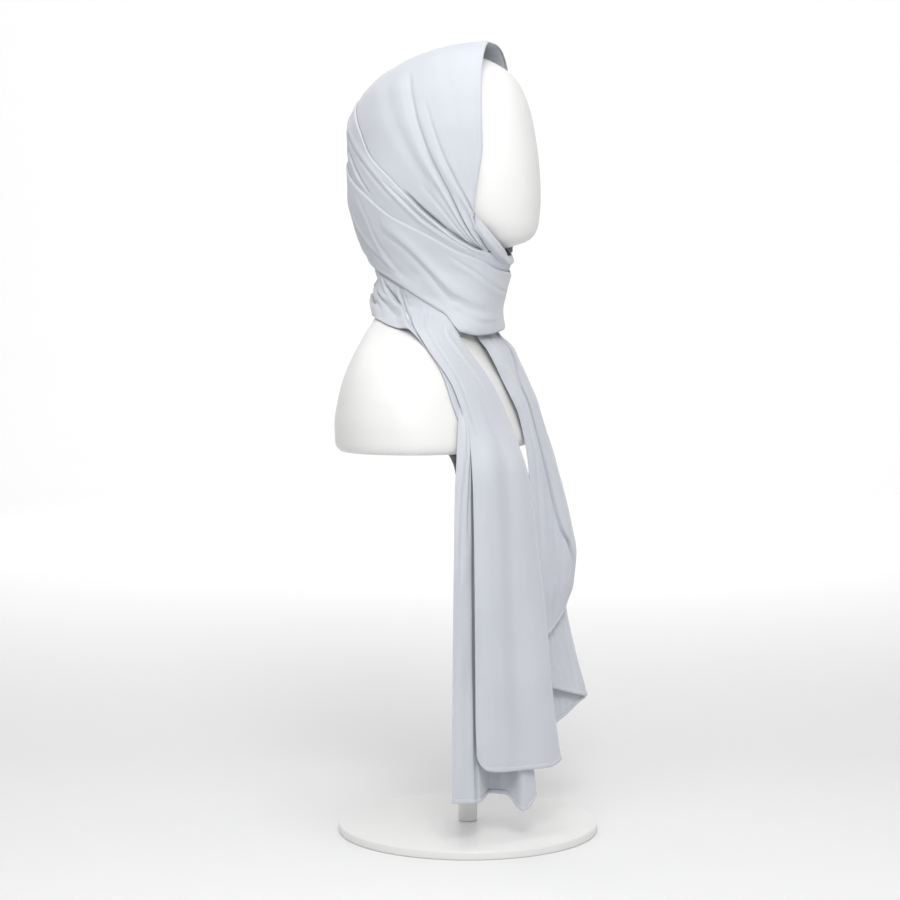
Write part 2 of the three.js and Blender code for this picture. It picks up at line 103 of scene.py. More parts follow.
# How far the hood's front edge leans back, by how far the fold has risen, both in degrees
HOOD_EDGE = named("rise lean", [
    (8, 15), (20, 15), (31, 18), (39, 12), (49, 5), (60, 1.2), (77, 2), (90, 3.4),
])

# The band's lower and upper edge, by the angle round from the front over the near side
BAND = named("turn low high", [
    (-22, 580, 645), (0, 577, 646), (15, 575, 647), (30, 574, 651), (42, 577, 658),
    (65, 598, 669), (89, 614, 688), (111, 630, 707), (130, 642, 733), (148, 652, 753),
    (165, 659, 771), (180, 662, 778), (200, 660, 770), (225, 648, 738), (250, 632, 706),
    (275, 615, 684), (300, 598, 666), (320, 587, 652), (338, 580, 645),
])

# Folded edge of the ply above the band, which overlaps itself at the throat
UPPER_PLY = named("turn high", [
    (-46, 659), (-35, 656), (-24, 653), (0, 656), (20, 661), (38, 666.5), (52, 671),
    (69, 683), (89, 709), (99, 727), (112, 752), (125, 776), (134, 806), (146, 826),
    (162, 840), (180, 845), (200, 836), (221, 806), (240, 768), (260, 732), (280, 704),
    (300, 682), (322, 664), (336, 655),
])

# Middle line of the roll under the chin
CHIN_ROLL = named("turn height", [
    (-62, 674), (-45, 664), (-25, 657), (0, 655), (25, 664), (45, 680.5), (61, 703),
])

# Low edge of the nape's cloth, whose start runs down as a tongue by the near tail
NAPE_EDGE = named("turn low", [
    (36, 424), (41, 434), (43.6, 452), (45.4, 474), (47.4, 498), (49.5, 524), (52.5, 541),
    (57, 553), (66, 566), (85, 578), (105, 584), (127, 590), (155, 594), (185, 594),
    (215, 593), (245, 591), (270, 597), (300, 603),
])

# The near tail's edges where it lies on the chest, as angles
NEAR_CHEST = named("z left right", [
    (432, 42, 11), (470, 43, 12.5), (493, 44, 14.5), (522, 47, 19.5), (548, 56, 27),
    (567, 66, 36), (585, 80, 45), (604, 95, 54), (626, 108, 66),
])

# The near tail's edges in plan below, and how far its middle stands out
NEAR_HANG = named("z leftX leftY rightX rightY ridge", [
    (90, -126, -51.5, -33, -122, 9),
    (156, -128, -49.5, -34, -113, 9),
    (271, -130.5, -49.5, -37, -103, 8),
    (331, -132.5, -49.5, -39, -96, 9),
    (410, -136, -49, -44, -86, 12),
    (451, -138, -47, -49, -77, 16),
    (478, -138, -43, -54, -71, 18),
])

# Hem of the near tail's front panel, by the share of the way across
NEAR_HEM = named("across z", [
    (0, 111), (0.03, 102), (0.08, 96.5), (0.2, 94), (0.5, 92), (0.8, 91), (1, 95),
])

# The ply behind, as six lines in plan: strip, tuck behind the panel, recess, rounded fold
BACK_PLY = named("z stripX stripY tuckX tuckY recessX recessY riseX riseY foldX foldY endX endY", [
    (30, -146, -29, -116.5, -51.8, -73, -47, -67, -65, -77, -87, -60, -100),
    (70, -146, -29, -117, -50.8, -73, -47, -67, -65, -77, -87, -60, -99),
    (104, -146, -29, -117.5, -49.8, -76, -47, -71, -62, -79, -82, -60, -94),
    (232, -147, -30, -119.8, -47.3, -96, -44, -90, -54, -88, -68, -66, -83),
    (332, -147, -31, -123, -46.8, -112, -44, -106, -50, -100, -60, -80, -74),
    (405, -146.5, -32, -128, -47.5, -120, -43, -114, -47, -110, -51, -96, -58),
    (443, -143.5, -33, -130, -47, -123, -42, -118, -44, -113, -46, -103, -50),
    (472, -139.5, -33, -129, -42, -124, -40, -119, -41, -115, -42, -107, -45),
    (500, -126, -31, -121, -33, -118, -35, -115, -36, -112, -38, -106, -41),
])
BACK_LINES = ("strip", "tuck", "recess", "rise", "fold", "end")
BACK_TOP = 497.0

BACK_HEM = named("across z", [
    (0, 63), (0.1, 61), (0.2, 59), (0.4, 60), (0.6, 59),
    (0.68, 54), (0.76, 46), (0.84, 43.5), (0.92, 48), (1, 58),
])

# The far tail's edges on the chest, as angles
FAR_CHEST = named("z left right", [
    (563, 17, -20), (575, 19, -20), (590, 19, -19), (606, 18, -18),
])

# The far tail's upper ply in plan
FAR_HANG = named("z leftX leftY rightX rightY ridge", [
    (220, 11, -86, 70, -92, 5),
    (259, 10, -84, 72, -98, 5),
    (285, 10, -82, 73, -106, 6),
    (310, 9, -79, 73, -109, 6),
    (358, 8, -75, 70, -103, 6),
    (426, 5, -71, 64, -87, 6),
    (483, -3, -62, 55, -71, 5),
    (496, -8, -58, 52, -68, 5),
    (525, -18, -46, 42, -58, 4),
    (540, -25, -41, 35, -52, 4),
    (563, -33, -31, 24, -44, 3),
    (580, -37, -26, 18, -37, 2),
])

FAR_HEM = named("across z", [
    (0, 226), (0.5, 236), (0.8, 250), (1, 284),
])

# The far tail's lower ply in plan
LOWER_HANG = named("z leftX leftY rightX rightY ridge", [
    (108, 26, -92, 78, -124, 3),
    (148, 24, -90, 78, -122, 3),
    (196, 21, -84, 80, -109, 3),
    (259, 18, -75, 82, -95, 3),
    (311, 16, -70, 80, -92, 3),
    (350, 14, -66, 76, -86, 3),
    (436, 10, -60, 62, -72, 3),
])

LOWER_HEM = named("across z", [
    (0, 168), (0.5, 158), (1, 149),
])

# The lower ply's turned corner in plan
CORNER_HANG = named("z leftX leftY rightX rightY ridge", [
    (108, 36, -84, 79, -122, -3),
    (148, 35, -82, 79, -120, -3),
    (196, 33, -77, 81, -106.5, -3),
    (262, 31, -68, 82.5, -92, -3),
])

CORNER_HEM = named("across z", [
    (0, 114), (0.3, 121), (0.6, 131), (1, 147),
])


def fold(height, width, groove, side, rows, only=0):
    """A crease: its rows are (along, across) of the dark line, whose groove is `groove` mm deep.
    Its ridge is `height` mm high and stands `width` from the line, on the side of smaller
    `across` if side is 1 and of larger if -1. `only` is the side of the head that has it."""
    line = np.array(rows, float)
    return dict(
        height=height,
        width=width,
        groove=groove,
        side=side,
        only=only,
        line=dict(along=line[:, 0], across=line[:, 1]),
    )


# Creases of the hood: rows of rise and lean, and which side of the head has them
HOOD_CREASES = [
    # near side: the two long folds that show best, then the shorter ones by the throat
    fold(5.0, 3.4, 5.6, -1, [(5, 49), (15, 42), (32, 33), (46, 29), (55, 28.6), (62, 27),
                             (67, 25.3), (73, 23.5)], 1),
    fold(3.6, 3.0, 3.8, -1, [(4, 35), (14, 26), (34, 16), (48, 20.5), (57, 22), (66, 21)], 1),
    fold(1.8, 3.4, 0.6, -1, [(6, 58), (16, 48.5), (30, 39.5), (42, 35.5), (52, 34)], 1),
    fold(1.4, 3.0, 0.5, -1, [(8, 66), (18, 55), (32, 45.5), (44, 41.5), (52, 41)], 1),
    fold(1.4, 3.4, 0.4, 1, [(8, 30), (22, 22), (36, 13), (50, 9), (62, 8)], 1),
    fold(1.4, 4.6, 0.2, -1, [(50, 37), (62, 35), (74, 31), (86, 28)], 1),
    fold(1.2, 3.8, 0.2, -1, [(58, 11), (70, 12), (84, 14)], 1),
    # far side
    fold(4.6, 3.2, 5.0, -1, [(4, 47), (14, 41), (28, 31), (48, 27), (72, 23)], -1),
    fold(3.6, 3.0, 3.4, -1, [(4, 34), (18, 25), (34, 17), (60, 15)], -1),
    fold(1.8, 3.2, 0.6, -1, [(6, 58), (18, 49), (32, 40), (50, 36)], -1),
    fold(1.4, 3.0, 0.5, -1, [(8, 66), (22, 53), (38, 44), (50, 42)], -1),
    fold(1.4, 4.4, 0.2, 1, [(46, 42), (64, 38), (84, 32)], -1),
]

# Creases of the band: rows of angle round the neck and height
BAND_CREASES = [
    fold(3.4, 9.0, 0.6, -1, [(26, 598), (40, 602), (59, 612), (76, 630), (94, 656),
                             (108, 676), (120, 690)]),
    fold(1.3, 12.0, 0.2, 1, [(92, 630), (108, 642), (125, 679), (134, 724), (142, 742)]),
    fold(1.5, 5.0, 0.5, -1, [(4, 590), (24, 586), (44, 592), (62, 606)]),
    fold(1.3, 6.0, 0.4, -1, [(112, 640), (132, 664), (150, 700), (170, 742)]),
    fold(1.6, 4.5, 0.8, 1, [(-18, 630), (0, 625), (26, 632), (50, 648), (70, 664)]),
    fold(1.4, 7.0, 0.4, 1, [(150, 668), (172, 690), (192, 712), (214, 724)]),
    fold(3.0, 8.5, 0.8, -1, [(196, 748), (222, 704), (246, 668), (276, 636), (306, 606)]),
    fold(2.2, 7.5, 0.6, 1, [(188, 690), (214, 668), (240, 650), (262, 630)]),
    fold(1.8, 5.5, 0.6, -1, [(258, 672), (286, 650), (312, 630), (334, 618)]),
]

# Creases of the ply above the band
PLY_CREASES = [
    fold(2.2, 5.0, 1.8, 1, [(41, 661), (46, 663.5), (60, 673), (73, 684), (90, 703),
                            (104, 727), (116, 748)]),
    fold(1.8, 6.0, 2.4, 1, [(124, 728), (132, 746), (138, 759), (148, 781), (158, 792)]),
    fold(1.6, 7.0, 0.6, -1, [(104, 716), (118, 742), (134, 772), (150, 800), (170, 822)]),
    fold(1.8, 6.0, 1.2, 1, [(206, 790), (228, 752), (252, 718), (280, 690)]),
    fold(1.5, 5.5, 0.8, -1, [(188, 820), (214, 796), (238, 754), (262, 722)]),
]

# Creases of the cloth round the nape
NAPE_CREASES = [
    fold(4.2, 5.5, 3.6, 1, [(66, 572), (75, 581), (98, 600), (120, 621), (130, 633), (138, 652)]),
    fold(4.0, 5.0, 3.4, 1, [(58, 556), (66, 568), (80, 582), (94, 597), (108, 618), (116, 636)]),
    fold(2.2, 6.0, 7.0, 1, [(138, 603), (152, 610), (164, 618), (178, 629)]),
    fold(2.8, 5.0, 2.0, -1, [(92, 588), (112, 598), (132, 612), (150, 634)]),
    fold(3.0, 6.0, 1.6, 1, [(126, 600), (146, 610), (168, 622), (190, 624)]),
    fold(2.6, 5.5, 1.6, -1, [(150, 640), (176, 614), (204, 604), (232, 606)]),
    fold(3.0, 5.5, 2.0, 1, [(190, 640), (214, 628), (240, 614), (266, 606)]),
]

# Creases of the hanging sheets: rows of height and share of the way across
NEAR_CREASES = [
    fold(1.9, 0.17, 0.0, 1, [(88, 0.5), (240, 0.48), (400, 0.5), (500, 0.54), (600, 0.62)]),
    fold(1.2, 0.14, 0.0, -1, [(88, 0.78), (230, 0.8), (380, 0.78), (500, 0.72), (560, 0.74)]),
    fold(1.6, 0.06, 1.0, 1, [(470, 0.12), (530, 0.19), (575, 0.28), (624, 0.42)]),
    fold(2.0, 0.08, 0.8, -1, [(500, 0.66), (550, 0.6), (590, 0.66), (624, 0.78)]),
    fold(0.8, 0.09, 0.0, 1, [(88, 0.22), (170, 0.24), (300, 0.22), (420, 0.2)]),
]

BACK_CREASES = [
    fold(0.4, 0.07, 12.0, 1, [(20, 0.168), (140, 0.172), (300, 0.176), (430, 0.172), (490, 0.18)]),
    fold(1.8, 0.035, 1.2, 1, [(300, 0.05), (380, 0.06), (430, 0.09), (490, 0.15)]),
    fold(1.6, 0.03, 1.0, 1, [(350, 0.11), (400, 0.12), (440, 0.14), (480, 0.2)]),
    fold(0.7, 0.04, 0.1, 1, [(40, 0.09), (160, 0.1), (280, 0.09)]),
    fold(1.4, 0.05, 0.3, -1, [(42, 0.52), (120, 0.5), (240, 0.5)]),
    fold(1.2, 0.05, 0.3, 1, [(40, 0.9), (140, 0.9), (260, 0.88)]),
]

FAR_CREASES = [
    fold(2.2, 0.12, 1.4, 1, [(330, 0.12), (420, 0.16), (520, 0.26), (604, 0.5)]),
    fold(2.2, 0.10, 1.4, -1, [(500, 0.12), (540, 0.2), (575, 0.36), (606, 0.6)]),
    fold(1.6, 0.08, 0.5, 1, [(232, 0.46), (280, 0.4), (340, 0.36)]),
    fold(1.4, 0.08, 0.4, -1, [(250, 0.78), (290, 0.84), (330, 0.9)]),
]

LOWER_CREASES = [
    fold(2.0, 0.09, 0.6, 1, [(150, 0.35), (250, 0.38), (400, 0.42)]),
    fold(1.8, 0.08, 0.5, -1, [(150, 0.72), (230, 0.75), (330, 0.7)]),
]

CORNER_CREASES = [fold(1.6, 0.1, 0.5, 1, [(118, 0.4), (180, 0.46), (250, 0.5)])]

# Line that the far tail's lip follows down
FAR_LIP = named("z across", [
    (296, 0.9), (328, 0.79), (353, 0.63), (407, 0.51),
    (459, 0.42), (511, 0.5), (540, 0.7), (576, 0.88),
])

# Where the plies stand off what is under them and show as dark slits: from and to, in
# angles round the head, and depth
PLY_SLITS = [(77, 102, 12.0), (61, 78, 9.0), (46, 62, 8.0), (208, 240, 10.0), (262, 286, 8.0)]


def slopes(rate):
    """Slope at each row from the rates between rows: at the ends the nearest rate, within the
    harmonic mean of the two beside it, and level where these differ in sign."""
    product = rate[1:] * rate[:-1]
    inner = np.where(product > 0, 2 * product / np.where(product > 0, rate[1:] + rate[:-1], 1), 0)
    return np.concatenate([rate[:1], inner, rate[-1:]])


def cubic(t, a, b, start, end):
    """From a at t = 0, with slope start, to b at t = 1, with slope end: (1 + 2t)(1 - t)^2 a +
    t(1 - t)^2 start + t^2(3 - 2t) b + t^2(t - 1) end."""
    left = (1 + 2 * t) * (1 - t) ** 2 * a + t * (1 - t) ** 2 * start
    return left + t * t * (3 - 2 * t) * b + t * t * (t - 1) * end


def curve(table, column, at):
    """One column of a table at each of `at`, by the cubic between rows."""
    x = next(iter(table.values()))
    y = table[column]
    slope = slopes(np.diff(y) / np.diff(x))
    a = np.clip(at, x[0], x[-1])
    i = np.clip(np.searchsorted(x, a, side="right") - 1, 0, len(x) - 2)
    h = x[i + 1] - x[i]
    return cubic((a - x[i]) / h, y[i], y[i + 1], h * slope[i], h * slope[i + 1])


def smooth(low, high, at):
    """0 below low, 1 above high, and the cubic 3t^2 - 2t^3 between."""
    t = np.clip((at - low) / (high - low), 0, 1)
    return t * t * (3 - 2 * t)


def mix(a, b, share):
    """a where share is 0 and b where it is 1, for points whose last axis is x, y, z."""
    return a + (b - a) * share[..., None]


def unit(v):
    """Vectors over their own length."""
    return v / np.maximum(np.linalg.norm(v, axis=-1, keepdims=True), 1e-9)


def on_ring(rings, turn, z):
    """Rounded section |x/half|^n + |y/depth|^n = 1 at height z, at an angle round from the front."""
    front = curve(rings, "front", z)
    back = curve(rings, "back", z)
    s = np.sin(np.radians(turn))
    c = np.cos(np.radians(turn))
    q = (np.abs(s) ** SQUARENESS + np.abs(c) ** SQUARENESS) ** (-1 / SQUARENESS)
    x = -curve(rings, "half", z) * q * s
    y = (front + back) / 2 - (back - front) / 2 * q * c
    return np.stack([x, y, z + 0 * x], -1)


def off_ring(rings, turn, z, off):
    """The ringed surface moved out by `off`, square to itself."""
    around = on_ring(rings, turn - 1, z) - on_ring(rings, turn + 1, z)
    up = on_ring(rings, turn, z + 1) - on_ring(rings, turn, z - 1)
    return on_ring(rings, turn, z) + unit(np.cross(around, up)) * np.asarray(off)[..., None]


def drape(turn, z, over, under):
    """Cloth held off the neck by the band above, and lying on the shoulders below: the first
    layer moved out by `over`, mixed down into the form moved out by `under`."""
    hold = np.maximum(curve(BAND, "low", turn) - 1, HOLD_LOWEST)
    neck = off_ring(WRAP, turn, np.maximum(z, WRAP["z"][0]), over)
    neck[..., 2] += np.minimum(z - WRAP["z"][0], 0)
    body = off_ring(FORM, turn, z, under)
    return mix(neck, body, 1 - smooth(hold - SETTLE, hold, z))


def clear_of_form(point, off):
    """Moves points out, level, until they stand `off` from the form."""
    z = np.maximum(point[..., 2], FORM_BASE)
    half = curve(FORM, "half", z)
    front = curve(FORM, "front", z)
    back = curve(FORM, "back", z)
    middle = (front + back) / 2
    turn = np.degrees(np.arctan2(-point[..., 0] / half, -(point[..., 1] - middle) / (back - front) * 2))
    limit = off_ring(FORM, turn, z, off + 0 * z)
    have = np.hypot(point[..., 0], point[..., 1] - middle)
    need = np.hypot(limit[..., 0], limit[..., 1] - middle)
    limit[..., 2] = point[..., 2]
    share = smooth(FORM_BASE - CLEAR_BELOW, FORM_BASE - 6, point[..., 2]) * (have < need)
    return mix(point, limit, share)


def creases(along, across, folds, head_side=None):
    """Height that creases add. With d the distance from a crease's line in its widths, the
    ridge is height * exp(-((d + 1) / w)^2), w being 1 on its long side and 0.55 by the line,
    the groove along the line is -groove * exp(-(d / 0.22)^2), a low swell lies beyond it,
    and all fade at both ends as the square root of a sine."""
    total = np.zeros(np.broadcast(along, across).shape)
    for crease in folds:
        line = crease["line"]
        ends = line["along"][0], line["along"][-1]
        swell = np.sqrt(np.sin(np.pi * np.clip((along - ends[0]) / (ends[1] - ends[0]), 0, 1)))
        if head_side is not None:
            swell = swell * (head_side == crease["only"])
        d = crease["side"] * (across - curve(line, "across", along)) / crease["width"]
        ridge = np.exp(-(((d + 1) / np.where(d < -1, 1.0, 0.55)) ** 2))
        beyond = 0.35 * np.exp(-(((d - 0.9) / 0.8) ** 2)) * (d > 0)
        cut = crease["groove"] * np.exp(-((d / 0.22) ** 2))
        total = total + (crease["height"] * (ridge + beyond * smooth(0, 0.5, d)) - cut) * swell
    return total


def slits(turn, above):
    """Depth of the dark gaps along a ply's edge: a soft pit just above the edge, between two
    angles round the head."""
    total = 0
    for first, last, depth in PLY_SLITS:
        swell = np.sqrt(np.sin(np.pi * np.clip((turn - first) / (last - first), 0, 1)))
        total = total + depth * swell * np.exp(-(((above - 0.4) / 2.6) ** 2))
    return total


def eased(points, weight, passes):
    """Points averaged with their neighbours up and down the sheet, as often as `passes`."""
    for _ in range(passes):
        mean = points.copy()
        mean[1:-1] = (points[:-2] + 2 * points[1:-1] + points[2:]) / 4
        points = mix(points, mean, weight)
    return points


def unrest(u, v, size, seed):
    """Slow uneven swell of cloth: six sine waves with seeded directions, `size` mm high."""
    rng = np.random.default_rng(seed)
    total = 0
    for n in range(6):
        a, b = rng.uniform(1.5, 6.5, 2)
        total = total + np.sin(2 * np.pi * (a * u + b * v * rng.choice([-1, 1]) + rng.uniform())) / (n + 2)
    return size * total


def hood_point(across, along):
    """Fan from the throat: `along` turns from the near side over the crown to the far side,
    `across` leans the plane back, and the reach is halved down onto the first layer."""
    rise = HOOD_START + HOOD_SWEEP * along
    up = np.minimum(rise, 180 - rise)
    side = np.where(rise < 90, 1, -1)
    first = curve(HOOD_EDGE, "lean", up) + 1.6 * (side < 0) * smooth(88, 70, up)
    lean = first + (HOOD_BACK - first) * across
    r, n = np.radians(rise), np.radians(lean)
    direction = np.stack([-np.cos(r), np.sin(r) * np.sin(n), np.sin(r) * np.cos(n)], -1)
    near = np.full(rise.shape, 5.0)
    far = np.full(rise.shape, 320.0)
    for _ in range(HALVINGS):
        middle = (near + far) / 2
        p = THROAT + direction * middle[..., None]
        z = p[..., 2]
        front = curve(WRAP, "front", z)
        back = curve(WRAP, "back", z)
        level = np.abs(p[..., 0] / curve(WRAP, "half", z)) ** SQUARENESS
        level = level + np.abs((p[..., 1] - (front + back) / 2) / (back - front) * 2) ** SQUARENESS
        inside = (level < 1) & (z < WRAP["z"][-1])
        near = np.where(inside, middle, near)
        far = np.where(inside, far, middle)
    skin = THROAT + direction * near[..., None]
    front = curve(WRAP, "front", skin[..., 2])
    back = curve(WRAP, "back", skin[..., 2])
    level = (skin[..., 1] - (front + back) / 2) / (back - front) * 2
    turn = np.degrees(np.arctan2(-skin[..., 0] / curve(WRAP, "half", skin[..., 2]), -level)) % 360
    above = skin[..., 2] - curve(UPPER_PLY, "high", turn)
    covered = smooth(2, -4, above) * (turn > 45) * (turn < 316)
    lift = creases(up, lean, HOOD_CREASES, side)
    lift = lift + unrest(across, along, 0.35, 3) * smooth(0, 0.05, across)
    edge = (lean - first) * near / 57
    rolled = 0.9 * np.exp(-((edge - 3) / 2.5) ** 2) - 0.8 * np.exp(-((edge / 1.2) ** 2))
    lift = (lift + rolled * (across < 0.5)) * (1 - covered) - covered - slits(turn, above)
    return skin + direction * lift[..., None]


def folded_edge(distance):
    """Soft swell and turn-down of a folded edge, by the distance from it in millimetres."""
    return 0.35 * np.exp(-((distance / 6) ** 2)) - 1.5 * np.exp(-((distance / 1.2) ** 2))


def band_point(turn, across, off):
    """The band between its lower and upper edge, folded along both."""
    low = curve(BAND, "low", turn)
    high = curve(BAND, "high", turn)
    z = low + (high - low) * across
    lift = creases(turn, z, BAND_CREASES) * smooth(0, 0.16, across) * smooth(0, 0.12, 1 - across)
    lift = lift + folded_edge((high - low) * (1 - across)) + folded_edge((high - low) * across)
    return off_ring(WRAP, turn, z, off + lift + 0.8 * np.sin(np.pi * across))


def near_band(u, v):
    """The band from the throat over the near side to the back."""
    return band_point(-22 + 187 * u, v, 2 * PLY)


def far_band(u, v):
    """The band from the back over the far side to the throat."""
    return band_point(165.05 + 172.65 * u, v, 2 * PLY)


def upper_ply(u, v):
    """The ply above the band, from under the band's upper edge to its own folded edge. It goes
    once round and its end slants over its start at the throat."""
    start, sweep, slant, hidden = -46, 366, 15, 16
    turn = start + sweep * u + slant * (1 - v) * smooth(0.92, 1, u)
    low = curve(BAND, "high", np.where(turn < BAND["turn"][0], turn + 360, turn)) - hidden
    high = np.maximum(curve(UPPER_PLY, "high", turn), low + 8)
    z = low + (high - low) * v
    inner = smooth(16, 26, z - low)
    lift = creases(turn, z, PLY_CREASES) * inner * smooth(0, 0.2, 1 - v)
    lift = lift + PLY - 2.2 * smooth(44, 20, turn) + 0.25 * slits(turn, (z - high) / 2)
    return off_ring(WRAP, turn, z, lift + folded_edge((high - low) * (1 - v)) * inner)


def chin_roll(u, v):
    """Half-round roll under the chin, its radius swelling and creasing along its length."""
    turn = -56 + 115 * u
    middle = curve(CHIN_ROLL, "height", turn)
    taper = np.sin(np.pi * np.minimum(np.minimum(u, 1 - u), 0.12) / 0.24)
    grooves = 0.8 * np.sin(2 * np.pi * (1.5 * v + 0.8 * u)) * np.sin(np.pi * v)
    swell = 5.5 * taper * np.sin(np.pi * v) ** 0.7 + grooves * taper
    seat = -4.2 + 7.2 * smooth(0, 50, turn)
    return off_ring(WRAP, turn, middle + (v - 0.5) * 13, seat + swell)


def nape_wrap(u, v):
    """Cloth round the nape: bags out under the band, then lies on the shoulders."""
    turn = 36 + 264 * u ** 1.5
    low = curve(NAPE_EDGE, "low", turn)
    high = curve(BAND, "low", turn) + 12
    z = low + (high - low) * v
    rise = np.clip((z - 592) / np.maximum(curve(BAND, "low", turn) - 594, 10), 0, 1)
    round_back = smooth(95, 140, turn) * (1 - smooth(215, 260, turn))
    bag = 9 * round_back * np.sin(np.pi * rise) ** 0.8
    shown = smooth(0, 8, high - 12 - z)
    deepest = -0.8 - 5.0 * smooth(585, 604, z)
    lift = bag + np.maximum(creases(turn, z, NAPE_CREASES), deepest) * shown * smooth(52, 62, turn)
    return drape(turn, z, lift - 0.3, lift + SEAT + CLOTH)


def hanging(hang, u, z):
    """A sheet between two edges in plan, with one soft ridge a third of the way across, and
    the level direction that it faces."""
    left = np.stack([curve(hang, "leftX", z), curve(hang, "leftY", z), z], -1)
    right = np.stack([curve(hang, "rightX", z), curve(hang, "rightY", z), z], -1)
    run = right - left
    out = unit(np.stack([run[..., 1], -run[..., 0], 0 * z], -1))
    wave = np.sin(np.pi * u) + 0.35 * np.sin(3 * np.pi * u)
    return mix(left, right, u) + out * (curve(hang, "ridge", z) * wave)[..., None], out


def tail(u, v, chest, hang, hem, top, settle, off, folds, swell, seed):
    """A tail that lies on the chest by angles round it above, and hangs in plan below."""
    bottom = curve(hem, "z", u)
    z = top - (top - bottom) * (1 - v) ** 1.5
    point, out = hanging(hang, u, z)
    edges = smooth(0, 0.06, u) * smooth(0, 0.06, 1 - u)
    lift = (creases(z, u, folds) + unrest(u, v, swell, seed) * smooth(560, 430, z)) * edges
    point = clear_of_form(point + out * lift[..., None], off)
    if chest is None:
        return point
    turn = curve(chest, "left", z) * (1 - u) + curve(chest, "right", z) * u
    shown = np.maximum(lift, -1.0) * smooth(0, 14, curve(BAND, "low", turn) - z)
    lying = drape(turn, z, PLY - 0.4 + shown, off + shown)
    return mix(point, lying, smooth(settle[0], settle[1], z))


def near_tail_front(u, v):
    """The near tail's front panel, its step from the chest to the free fall averaged away."""
    points = tail(
        u, v, NEAR_CHEST, NEAR_HANG, NEAR_HEM, 626, (432, 478), ON_NAPE, NEAR_CREASES, 0.5, 11
    )
    z = points[..., 2]
    weight = smooth(360, 420, z) * smooth(590, 540, z)
    return clear_of_form(eased(points, weight, 68), 4.0)


def near_tail_back(u, v):
    """The ply behind: five named lines in plan, joined by smooth curves across."""
    bottom = curve(BACK_HEM, "z", u)
    z = BACK_TOP - (BACK_TOP - bottom) * (1 - v) ** 1.5
    at = u * (len(BACK_LINES) - 1)
    first = np.clip(at.astype(int), 0, len(BACK_LINES) - 2)
    share = at - first
    places = np.stack(
        [np.stack([curve(BACK_PLY, n + "X", z), curve(BACK_PLY, n + "Y", z)], -1) for n in BACK_LINES]
    )
    slope = slopes(np.diff(places, axis=0))
    rows, columns = np.indices(u.shape)
    a = places[first, rows, columns]
    b = places[first + 1, rows, columns]
    start = slope[first, rows, columns]
    end = slope[first + 1, rows, columns]
    plan = cubic(share[..., None], a, b, start, end)
    run = (b - a) / np.maximum(np.linalg.norm(b - a, axis=-1, keepdims=True), 1e-6)
    lift = creases(z, u, BACK_CREASES) + unrest(u, v, 0.4, 5)
    lift = lift * smooth(0, 0.05, u) * smooth(0, 0.05, 1 - u) * smooth(BACK_TOP, 480, z)
    plan = plan + np.stack([run[..., 1], -run[..., 0]], -1) * lift[..., None]
    return clear_of_form(np.concatenate([plan, z[..., None]], -1), 1.5)


def far_tail_front(u, v):
    """The far tail's upper ply, whose part beyond a slanting line lies higher as a lip."""
    point = tail(
        u, v, FAR_CHEST, FAR_HANG, FAR_HEM, 606, (556, 582), SEAT + CLOTH, FAR_CREASES, 0.4, 21
    )
    z = point[..., 2]
    past = (u - curve(FAR_LIP, "across", z)) * 65
    shown = smooth(298, 330, z) * smooth(600, 570, z)
    ply = 2.8 * smooth(0, 0.7, past) * smooth(40, 8, past)
    lip = (ply - 4.5 * np.exp(-(((past + 0.6) / 0.75) ** 2))) * shown
    return point + np.array([-0.45, -0.9, 0]) * lip[..., None]


def far_tail_back(u, v):
    """The lower ply: against the upper one at its top, parting from it below."""
    own = tail(
        u, v, None, LOWER_HANG, LOWER_HEM, 436, None, SEAT + CLOTH, LOWER_CREASES, 0.3, 31
    )
    z = own[..., 2]
    over, out = hanging(FAR_HANG, 0.07 + 0.86 * u, z)
    return mix(own, over - out * (CLOTH + 3.2), smooth(370, 425, z))


def far_tail_corner(u, v):
    """The lower ply's corner, turned to show its other face."""
    return tail(
        u, v, None, CORNER_HANG, CORNER_HEM, 262, None, SEAT + CLOTH, CORNER_CREASES, 0.3, 41
    )


def form_point(u, v):
    """The display form: its level sections from the flat underside to the crown."""
    low, high = FORM["z"][0], FORM["z"][-1] + 1.6
    z = low + (high - low) * np.sin(np.pi / 2 * v)
    close = np.sqrt(np.clip((high - z) / 1.6, 0, 1))
    point = on_ring(FORM, -360 * u, np.minimum(z, FORM["z"][-1]))
    centre = np.array([0, (FORM["front"][-1] + FORM["back"][-1]) / 2])
    point[..., :2] = centre + (point[..., :2] - centre) * np.where(z > FORM["z"][-1], close, 1)[..., None]
    point[..., 2] = z
    return point


def grid(surface, columns, rows):
    """A surface's points on an even grid, as rows by columns by x, y, z."""
    u, v = np.meshgrid(np.linspace(0, 1, columns + 1), np.linspace(0, 1, rows + 1))
    return surface(u, v)


def normals(points):
    """Unit normals of a grid: its across direction crossed with its up direction."""
    return unit(np.cross(np.gradient(points, axis=1), np.gradient(points, axis=0)))


def mesh_piece(name, points, faces, uv=None):
    """A mesh object at the origin from points in millimetres and quads, smooth shaded."""
    mesh = bpy.data.meshes.new(name)
    mesh.from_pydata((points * MM).tolist(), [], faces.tolist())
    mesh.polygons.foreach_set("use_smooth", np.ones(len(faces), bool))
    if uv is not None:
        layer = mesh.uv_layers.new(name="cloth")
        loops = np.empty(len(mesh.loops), int)
        mesh.loops.foreach_get("vertex_index", loops)
        layer.data.foreach_set("uv", uv[loops].astype(np.float32).ravel())
    mesh.validate()
    mesh.update()
    piece = bpy.data.objects.new(name, mesh)
    bpy.context.collection.objects.link(piece)
    return piece


def quads(rows, columns, start=0):
    """Corner numbers of a grid's quads, counter-clockwise seen from its face side."""
    j, i = np.indices((rows, columns))
    a = start + j * (columns + 1) + i
    return np.stack([a, a + 1, a + columns + 2, a + columns + 1], -1).reshape(-1, 4)


